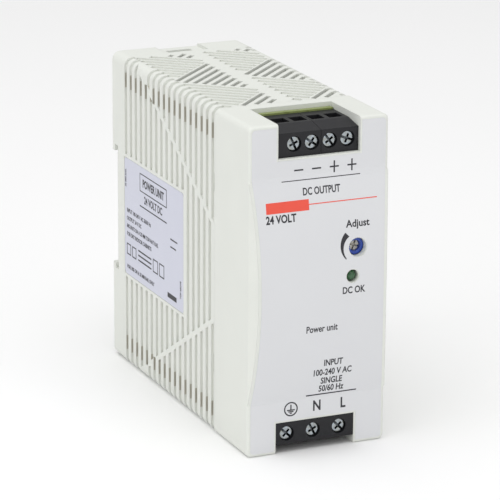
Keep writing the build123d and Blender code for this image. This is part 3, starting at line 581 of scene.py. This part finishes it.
def layOnFront(obj, lift):
    # Cut a flat shape into level strips, then push every point back onto the crown
    shape = bmesh.new()
    shape.from_mesh(obj.data)
    level = front["crownLow"]
    while level <= front["crownHigh"]:
        everything = shape.verts[:] + shape.edges[:] + shape.faces[:]
        bmesh.ops.bisect_plane(shape, geom=everything, plane_co=(0, level, 0), plane_no=(0, 1, 0))
        level += front["slice"]
    for point in shape.verts:
        x, height, out = point.co
        point.co = Vector((x, crownY(height) + lift - out, height)) * mm
    bmesh.ops.triangulate(shape, faces=shape.faces)
    bmesh.ops.recalc_face_normals(shape, faces=shape.faces)
    shape.to_mesh(obj.data)
    shape.free()
    return obj


notch = {"side": 0.1, "outputFloor": 80.7, "inputRoof": 8.7}


def filmOutline():
    # Right edge upwards with the notch for the output terminals, left edge down, input notch
    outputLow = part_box("output_terminal_block_left")[0] / mm
    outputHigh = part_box("output_terminal_block_right")[1] / mm
    inputLow, inputHigh = (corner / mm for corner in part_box("input_terminal_block"))
    gap = notch["side"] + front["notchGap"]
    top, bottom = labelHigh.z, labelLow.z
    notchTop, notchBottom = notch["outputFloor"] - front["notchGap"], notch["inputRoof"] + front["notchGap"]
    steps = [bottom + (top - bottom) * k / 60 for k in range(61)]
    corner = front["corner"]
    right = [(filmHalf(z), z) for z in steps if bottom + corner < z < top - corner]
    arc = [math.pi / 2 * k / 5 for k in range(6)]

    def turned(x, z, start):
        return [(x + corner * math.cos(a + start), z + corner * math.sin(a + start)) for a in arc]
    half = labelHigh.x - corner
    loop = turned(half, bottom + corner, -math.pi / 2) + right + turned(half, top - corner, 0.0)
    loop += [(outputHigh.x + gap, top), (outputHigh.x + gap, notchTop)]
    loop += [(outputLow.x - gap, notchTop), (outputLow.x - gap, top)]
    loop += turned(-half, top - corner, math.pi / 2) + [(-x, z) for x, z in reversed(right)]
    loop += turned(-half, bottom + corner, math.pi)
    loop += [(inputLow.x - gap, bottom), (inputLow.x - gap, notchBottom)]
    loop += [(inputHigh.x + gap, notchBottom), (inputHigh.x + gap, bottom)]
    return loop


trimmerPlace = middle("trimmer_rotor") / mm
lampPlace = middle("power_lamp") / mm


def hole(x, z, radius, points=36):
    return [(x + radius * math.cos(2 * math.pi * k / points), z + radius * math.sin(2 * math.pi * k / points))
            for k in range(points)]


filmHoles = {"trimmer": 2.7, "lamp": 1.95}
filmLoops = [
    filmOutline(), hole(trimmerPlace.x, trimmerPlace.z, filmHoles["trimmer"]),
    hole(lampPlace.x, lampPlace.z, filmHoles["lamp"]),
]
frontFilm = newObject("front_film", flatShape("front_film", filmLoops, front["filmThickness"]), satinFilm)
layOnFront(frontFilm, front["filmDrop"] + front["filmThickness"] / 2)
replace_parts(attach(frontFilm, "body"), "front_label")

inkLift = front["filmDrop"] - front["inkThickness"] / 2


def earthSign(x, z, radius):
    # Ring with the earth bars inside
    parts = [ring(x, z, radius, 0.36), bar(x - 0.18, x + 0.18, z - 0.15, z + radius * 0.62)]
    for k, half in enumerate((1.15, 0.75, 0.35)):
        low = z - 0.3 - 0.42 * k
        parts.append(bar(x - half, x + half, low - 0.16, low + 0.16))
    return parts


def adjustSweep(x, z):
    # Tapered crescent beside the trimmer, wide at the top
    sweep = {"radius": 5.0, "from": 2.35, "to": 3.95, "wide": 1.6, "thin": 0.25, "points": 24}
    outer, inner = [], []
    for k in range(sweep["points"] + 1):
        share = k / sweep["points"]
        angle = sweep["from"] + (sweep["to"] - sweep["from"]) * share
        width = sweep["wide"] + (sweep["thin"] - sweep["wide"]) * share
        outer.append((x + sweep["radius"] * math.cos(angle), z + sweep["radius"] * math.sin(angle)))
        near = sweep["radius"] - width
        inner.append((x + near * math.cos(angle), z + near * math.sin(angle)))
    return flatShape("sweep", [outer + inner[::-1]], front["inkThickness"])


signs = {"polarity": (77.4, 1.3), "tall": 1.6, "stroke": 0.2}


def polaritySigns():
    parts = []
    for number in range(1, 5):
        x = middle(f"output_screw_{number}").x / mm + 0.75
        z, half = signs["polarity"]
        parts.append(bar(x - half, x + half, z - signs["stroke"], z + signs["stroke"]))
        if number > 2:
            stroke, tall = signs["stroke"], signs["tall"]
            parts.append(bar(x - stroke, x + stroke, z + stroke, z + tall))
            parts.append(bar(x - stroke, x + stroke, z - tall, z - stroke))
    return parts


frontWords = polaritySigns() + [
    bar(-10.8, 11.7, 74.62, 75.14),
    textShape("DC OUTPUT", 2.7, 0.3, 71.6, width=0.7, weight=0.06),
    textShape("24 VOLT", 2.9, -15.9, 65.2, weight=0.09, align="LEFT"),
    textShape("Adjust", 2.7, 10.2, 62.0, width=0.95, weight=0.06),
    textShape("DC OK", 2.6, 8.8, 44.2, weight=0.06),
    textShape("Power unit", 2.6, -0.1, 34.5, weight=0.05),
    textShape("INPUT", 2.5, 3.9, 24.4, weight=0.06),
    textShape("100-240 V AC", 2.5, 3.8, 21.7, weight=0.06),
    textShape("SINGLE", 2.5, 3.8, 19.2, weight=0.06),
    textShape("50/60 Hz", 2.5, 3.9, 16.9, weight=0.06),
    bar(-3.2, 11.5, 15.15, 15.5),
    textShape("N", 4.0, 0.1, 12.1, width=0.8, weight=0.1),
    textShape("L", 4.0, 7.7, 11.95, width=0.8, weight=0.1),
    adjustSweep(trimmerPlace.x, 56.3),
]
frontWords += earthSign(-7.46, 12.2, 2.0)
frontPrint = layOnFront(join("front_print", frontWords, greyInk), inkLift)
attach(frontPrint, "body")
redBars = [bar(-15.7, -3.5, 66.85, 69.7), bar(-3.5, 16.1, 68.2, 68.45)]
redPrint = layOnFront(join("front_red_bar", redBars, redInk), inkLift)
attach(redPrint, "body")
print("front film and print laid")


# Rating plate on the left side, with generic lines only

plate = {"drop": 0.04, "thickness": 0.1, "corner": 1.2}
plateLow, plateHigh = (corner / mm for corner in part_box("side_label"))


def roundedBox(x0, x1, y0, y1, corner):
    loop = []
    for cx, cy, start in ((x1 - corner, y0 + corner, -90), (x1 - corner, y1 - corner, 0),
                          (x0 + corner, y1 - corner, 90), (x0 + corner, y0 + corner, 180)):
        for k in range(6):
            angle = math.radians(start + 18 * k)
            loop.append((cx + corner * math.cos(angle), cy + corner * math.sin(angle)))
    return loop


def layOnSide(obj, lift):
    # Drawn left to right from the rear towards the front, on the face that looks to -X
    turned = Matrix(((0, 0, -mm, 0), (-mm, 0, 0, 0), (0, mm, 0, 0), (0, 0, 0, 1)))
    obj.data.transform(Matrix.Translation(((plateLow.x + lift) * mm, 0, 0)) @ turned)
    return obj


plateFace = roundedBox(-plateHigh.y, -plateLow.y, plateLow.z, plateHigh.z, plate["corner"])
sidePlate = newObject("side_plate", flatShape("side_plate", [plateFace], plate["thickness"]), glossPlate)
layOnSide(sidePlate, plate["drop"] + plate["thickness"] / 2)
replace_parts(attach(sidePlate, "body"), "side_label")


def frameLine(x0, x1, y0, y1, width):
    outer = [(x0, y0), (x1, y0), (x1, y1), (x0, y1)]
    inner = [
        (x0 + width, y0 + width), (x1 - width, y0 + width),
        (x1 - width, y1 - width), (x0 + width, y1 - width),
    ]
    return flatShape("frame", [outer, inner], front["inkThickness"])


def sideWords():
    left, boxLeft, boxRight = -38.6, -28.8, -9.0
    middleX = (boxLeft + boxRight) / 2
    rows = [
        "INPUT 100-240 V AC 50/60 Hz", "OUTPUT 24 V DC", "MOUNTS ON A 35 MM TOP-HAT RAIL",
        "FOR DRY INDOOR CABINETS",
    ]
    parts = [
        frameLine(boxLeft, boxRight, 54.2, 59.5, 0.3),
        textShape("POWER UNIT", 3.2, middleX, 56.8, width=0.8, weight=0.1),
        textShape("24 VOLT DC", 3.0, middleX, 52.2, width=0.8, weight=0.08),
        bar(boxLeft, boxRight, 49.8, 50.15),
        textShape("FOR USE ON A 35 MM RAIL ONLY", 1.5, left, 29.6, width=0.9, weight=0.05, align="LEFT"),
        textShape("35 MM RAIL", 1.3, -39.4, 55.5, weight=0.04, turn=math.pi / 2),
        textShape("TOP ABOVE", 1.2, 0.9, 33.5, weight=0.04, turn=math.pi / 2),
    ]
    for k, words in enumerate(rows):
        parts.append(textShape(words, 1.6, left, 46.2 - 2.3 * k, width=0.86, weight=0.045, align="LEFT"))
    # Plain marks: two small boxes, two larger ones, and a few rules
    for x, size in ((-36.6, 2.2), (-32.6, 2.2), (-16.6, 2.6), (-12.0, 2.6)):
        parts.append(frameLine(x - size, x + size * 0.4, 33.2, 33.2 + size * 1.5, 0.35))
    for k in range(3):
        parts.append(bar(-30.2, -20.4, 36.2 - 1.4 * k, 36.65 - 1.4 * k))
    parts.append(bar(-6.4, -1.4, 46.0, 46.4))
    parts.append(bar(-6.4, -2.4, 43.8, 44.2))
    parts.append(bar(-8.5, -2.0, 29.0, 30.4))
    return parts


sidePrint = layOnSide(join("side_print", sideWords(), greyInk), plate["drop"] - front["inkThickness"] / 2)
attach(sidePrint, "body")
print("side plate laid")


# Terminal screws: a domed-edge head with slot and cross, and a threaded shank

screw = {
    "headShare": 0.78, "shankShare": 2 / 3, "threadPitch": 0.45, "ridge": 0.16,
    "slotWidth": 0.62, "slotDepth": 0.9, "crossHalf": 1.25, "edge": 0.088,
}


def screwTree():
    tree, ask = newTree("terminalScrew", {
        "Head Radius": "Float", "Head Height": "Float", "Shank Radius": "Float", "Shank Length": "Float",
        "Thread Pitch": "Float", "Ridge": "Float", "Slot Width": "Float", "Slot Depth": "Float",
        "Cross Half": "Float", "Place": "Vector", "Finish": "Material",
    })
    # Sizes worked out inside the tree: a name, an operation and its two values
    sizes = {socket.name: socket for socket in ask}
    for name, operation, first, second in (
        ("headMiddle", "MULTIPLY", "Head Height", -0.5),
        ("slotLength", "MULTIPLY", "Head Radius", 2.2),
        ("crossLength", "MULTIPLY", "Cross Half", 2.0),
        ("cutDepth", "MULTIPLY", "Slot Depth", 2.0),
        ("coreRadius", "SUBTRACT", "Shank Radius", "Ridge"),
        ("halfShank", "MULTIPLY", "Shank Length", -0.5),
        ("shankMiddle", "SUBTRACT", "halfShank", "Head Height"),
        ("threadLength", "MULTIPLY", "Shank Length", 0.8),
        ("threadTurns", "DIVIDE", "threadLength", "Thread Pitch"),
        ("fullLength", "ADD", "Shank Length", "Head Height"),
        ("tip", "MULTIPLY", "fullLength", -1.0),
        ("tipGap", "MULTIPLY", "Shank Length", 0.05),
        ("threadStart", "ADD", "tip", "tipGap"),
    ):
        sizes[name] = addNode(tree, "ShaderNodeMath", {
            0: sizes.get(first, first), 1: sizes.get(second, second),
        }, operation=operation).outputs[0]
    head = addNode(tree, "GeometryNodeMeshCylinder", {
        "Vertices": 40, "Radius": ask["Head Radius"], "Depth": ask["Head Height"],
    })
    core = addNode(tree, "GeometryNodeMeshCylinder", {
        "Vertices": 28, "Radius": sizes["coreRadius"], "Depth": ask["Shank Length"],
    })
    thread = addNode(tree, "GeometryNodeCurveSpiral", {
        "Resolution": 24, "Rotations": sizes["threadTurns"], "Height": sizes["threadLength"],
        "Start Radius": sizes["coreRadius"], "End Radius": sizes["coreRadius"],
    })
    ridge = addNode(tree, "GeometryNodeCurvePrimitiveCircle", {"Resolution": 4, "Radius": ask["Ridge"]})
    thread = addNode(tree, "GeometryNodeCurveToMesh", {
        "Curve": thread.outputs[0], "Profile Curve": ridge.outputs[0], "Fill Caps": True,
    })
    placed = {}
    for name, shape in (("headMiddle", head), ("shankMiddle", core), ("threadStart", thread)):
        offset = addNode(tree, "ShaderNodeCombineXYZ", {"Z": sizes[name]})
        placed[name] = addNode(tree, "GeometryNodeTransform", {
            "Geometry": shape.outputs[0], "Translation": offset.outputs[0],
        }).outputs[0]
    # A slot and a shorter bar across it are cut from the head
    cut = addNode(tree, "GeometryNodeMeshBoolean", {
        "Mesh 1": placed["headMiddle"], "Self Intersection": True,
    }, operation="DIFFERENCE", solver="EXACT")
    for across, along in ((sizes["slotLength"], ask["Slot Width"]), (ask["Slot Width"], sizes["crossLength"])):
        size = addNode(tree, "ShaderNodeCombineXYZ", {"X": across, "Y": along, "Z": sizes["cutDepth"]})
        block = addNode(tree, "GeometryNodeMeshCube", {"Size": size.outputs[0]})
        tree.links.new(block.outputs[0], cut.inputs["Mesh 2"])
    whole = addNode(tree, "GeometryNodeJoinGeometry")
    for part in (cut.outputs[0], placed["shankMiddle"], placed["threadStart"]):
        tree.links.new(part, whole.inputs[0])
    # The head looks along -Y
    laidDown = addNode(tree, "GeometryNodeTransform", {
        "Geometry": whole.outputs[0], "Rotation": (math.pi / 2, 0.0, 0.0), "Translation": ask["Place"],
    })
    closeTree(tree, laidDown.outputs[0], ask["Finish"])
    return tree


screwNodes = screwTree()


def fitScrew(node, turn):
    # Everything about its size and place comes from the node that it stands for
    low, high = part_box(node)
    headRadius = (high.x - low.x) / 2
    headHeight = headRadius * screw["headShare"]
    values = {
        "Head Radius": headRadius, "Head Height": headHeight,
        "Shank Radius": headRadius * screw["shankShare"],
        "Shank Length": (high.y - low.y) - headHeight, "Thread Pitch": screw["threadPitch"] * mm,
        "Ridge": screw["ridge"] * mm, "Slot Width": screw["slotWidth"] * mm,
        "Slot Depth": screw["slotDepth"] * mm, "Cross Half": screw["crossHalf"] * mm,
        "Place": (0.0, 0.0, 0.0), "Finish": zincPlate,
    }
    obj = grow(screwNodes, node + "_visual", values)
    roundEdges(obj, screw["edge"] * mm, 2, 40)
    axis = Matrix.Translation(((low.x + high.x) / 2, low.y, (low.z + high.z) / 2))
    obj.data.transform(axis @ Matrix.Rotation(turn, 4, "Y"))
    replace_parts(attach(obj, node), node)


screwTurns = {
    "output_screw_1": 1.15, "output_screw_2": 0.6, "output_screw_3": 0.95, "output_screw_4": 0.35,
    "input_screw_1": 0.75, "input_screw_2": 1.1, "input_screw_3": 0.8,
}
for node, turn in screwTurns.items():
    fitScrew(node, turn)
print("screws fitted:", len(screwTurns))


# Trimmer: a blue collar round a smaller cream rotor that lies deeper, with a cross recess

trimmer = {"rim": 2.36, "well": 1.5, "rotor": 1.42, "sunk": 0.85, "lip": 0.08, "bore": 1.72, "deep": 1.5}


def turnedRing(name, outline, centre, material, points=48):
    # Closed outline of (radius, depth) pairs turned round an axis along Y
    shape = bmesh.new()
    rows = []
    for k in range(points):
        angle = 2 * math.pi * k / points
        rows.append([shape.verts.new(Vector((
            centre.x + radius * math.cos(angle), centre.y + depth, centre.z + radius * math.sin(angle),
        )) * mm) for radius, depth in outline])
    for k in range(points):
        row, after = rows[k], rows[(k + 1) % points]
        for m in range(len(outline)):
            n = (m + 1) % len(outline)
            shape.faces.new((row[m], row[n], after[n], after[m]))
    bmesh.ops.recalc_face_normals(shape, faces=shape.faces)
    mesh = bpy.data.meshes.new(name)
    shape.to_mesh(mesh)
    shape.free()
    obj = newObject(name, mesh, material)
    smooth(obj, 30)
    return obj


rotorLow, rotorHigh = (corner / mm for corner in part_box("trimmer_rotor"))
collarPlace = Vector((
    (rotorLow.x + rotorHigh.x) / 2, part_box("trimmer_body")[0].y / mm, (rotorLow.z + rotorHigh.z) / 2,
))
collarOutline = [
    (trimmer["rim"], 0.0), (trimmer["rim"] - 0.1, -trimmer["lip"]), (trimmer["well"] + 0.15, -trimmer["lip"]),
    (trimmer["well"], 0.05), (trimmer["well"], trimmer["deep"]), (trimmer["bore"], trimmer["deep"]),
    (trimmer["bore"], 0.0),
]
trimmerCollar = turnedRing("trimmer_collar", collarOutline, collarPlace, blueThermoset)
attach(trimmerCollar, "body")
rotorValues = {
    "Head Radius": trimmer["rotor"] * mm, "Head Height": 0.65 * mm, "Shank Radius": 0.9 * mm,
    "Shank Length": 0.1 * mm, "Thread Pitch": 0.5 * mm, "Ridge": 0.04 * mm, "Slot Width": 0.5 * mm,
    "Slot Depth": 0.5 * mm, "Cross Half": trimmer["rotor"] * 1.1 * mm, "Place": (0.0, 0.0, 0.0),
    "Finish": creamNylon,
}
rotor = grow(screwNodes, "trimmer_rotor_visual", rotorValues)
rotorAxis = Matrix.Translation(Vector((collarPlace.x, collarPlace.y + trimmer["sunk"], collarPlace.z)) * mm)
rotor.data.transform(rotorAxis @ Matrix.Rotation(0.35, 4, "Y"))
smooth(rotor)
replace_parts(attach(rotor, "trimmer_knob"), "trimmer_rotor")
print("trimmer fitted")


# Latch spring: a coil wound to the size of its node and fixed to the body. The real spring shortens when the
# foot is pulled down.

spring = {"wire": 0.225, "turns": 9.0, "keep": 0.67}


def springTree():
    tree, ask = newTree("latchSpring", {
        "Radius": "Float", "Wire": "Float", "Turns": "Float", "Height": "Float", "Finish": "Material",
    })
    coil = addNode(tree, "GeometryNodeCurveSpiral", {
        "Resolution": 24, "Rotations": ask["Turns"], "Start Radius": ask["Radius"],
        "End Radius": ask["Radius"], "Height": ask["Height"],
    })
    wire = addNode(tree, "GeometryNodeCurvePrimitiveCircle", {"Resolution": 10, "Radius": ask["Wire"]})
    body = addNode(tree, "GeometryNodeCurveToMesh", {
        "Curve": coil.outputs[0], "Profile Curve": wire.outputs[0], "Fill Caps": True,
    })
    closeTree(tree, body.outputs[0], ask["Finish"])
    return tree


springLow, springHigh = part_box("latch_spring")
springWireRadius = spring["wire"] * mm
latchSpring = grow(springTree(), "latch_spring_visual", {
    "Radius": (springHigh.x - springLow.x) / 2 - springWireRadius, "Wire": springWireRadius,
    "Turns": spring["turns"], "Height": springHigh.z - springLow.z - 2 * springWireRadius,
    "Finish": springWire,
})
springMiddle = (springLow + springHigh) / 2
springFoot = (springMiddle.x, springMiddle.y, springLow.z + springWireRadius)
latchSpring.data.transform(Matrix.Translation(springFoot))
smooth(latchSpring)
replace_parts(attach(latchSpring, "body"), "latch_spring")
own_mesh(latchSpring)
print("spring wound")


# Floor, light and camera

floorSize = 4.0
floorMesh = bpy.data.meshes.new("floor")
corners = [
    (-floorSize, -floorSize, 0), (floorSize, -floorSize, 0),
    (floorSize, floorSize, 0), (-floorSize, floorSize, 0),
]
floorMesh.from_pydata(corners, [], [(0, 1, 2, 3)])
floorMaterial, floorTree = startMaterial("paleSweep")
floorCloud = addNode(floorTree, "ShaderNodeTexNoise", {
    "Vector": place(floorTree), "Scale": 1 / (300.0 * mm), "Detail": 1.0,
}).outputs["Fac"]
endMaterial(floorTree, addNode(floorTree, "ShaderNodeBsdfPrincipled", {
    "Base Color": addNode(floorTree, "ShaderNodeMix", {
        0: floorCloud, 6: linear("#FBFBFB"), 7: linear("#F8F8F8"),
    }, data_type="RGBA").outputs[2],
    "Roughness": 0.9,
    "Specular IOR Level": 0.1,
}))
floor = newObject("floor", floorMesh, floorMaterial)

lamps = {
    "top": {"place": (-0.15, -0.1, 1.3), "size": 1.6, "power": 11.6},
    "left": {"place": (-1.4, -0.5, 0.6), "size": 1.4, "power": 5.4},
    "front": {"place": (0.5, -1.5, 0.7), "size": 1.4, "power": 4.0},
}
target = Vector((0, 0, 0.045))
for name, lamp in lamps.items():
    light = bpy.data.lights.new(name + "Light", "AREA")
    light.size = lamp["size"]
    light.energy = lamp["power"]
    obj = bpy.data.objects.new(name + "Light", light)
    obj.location = lamp["place"]
    obj.rotation_euler = (target - obj.location).to_track_quat("-Z", "Y").to_euler()
    bpy.context.scene.collection.objects.link(obj)
world = bpy.data.worlds.new("studio")
world.use_nodes = True
world.node_tree.nodes["Background"].inputs["Color"].default_value = (1.0, 1.0, 1.0, 1.0)
world.node_tree.nodes["Background"].inputs["Strength"].default_value = 0.5
bpy.context.scene.world = world
bpy.context.scene.view_settings.view_transform = "Standard"

view = {"yaw": 23.926, "pitch": 16.498, "roll": 0.3055, "place": (-0.32886, -0.7438, 0.28335), "lens": 221.48}
yaw, pitch, roll = (math.radians(view[key]) for key in ("yaw", "pitch", "roll"))
ahead = Vector((math.sin(yaw) * math.cos(pitch), math.cos(yaw) * math.cos(pitch), -math.sin(pitch)))
level = Vector((math.cos(yaw), -math.sin(yaw), 0))
upright = level.cross(ahead)
right = math.cos(roll) * level + math.sin(roll) * upright
up = math.cos(roll) * upright - math.sin(roll) * level
camera = bpy.data.objects.new("camera", bpy.data.cameras.new("camera"))
camera.data.lens = view["lens"]
camera.data.sensor_width = 36.0
camera.data.clip_start = 0.05
camera.data.clip_end = 20.0
cameraTurn = Matrix((right, up, -ahead)).transposed().to_4x4()
camera.matrix_world = Matrix.Translation(view["place"]) @ cameraTurn
bpy.context.scene.collection.objects.link(camera)
bpy.context.scene.camera = camera

print("scene ready")
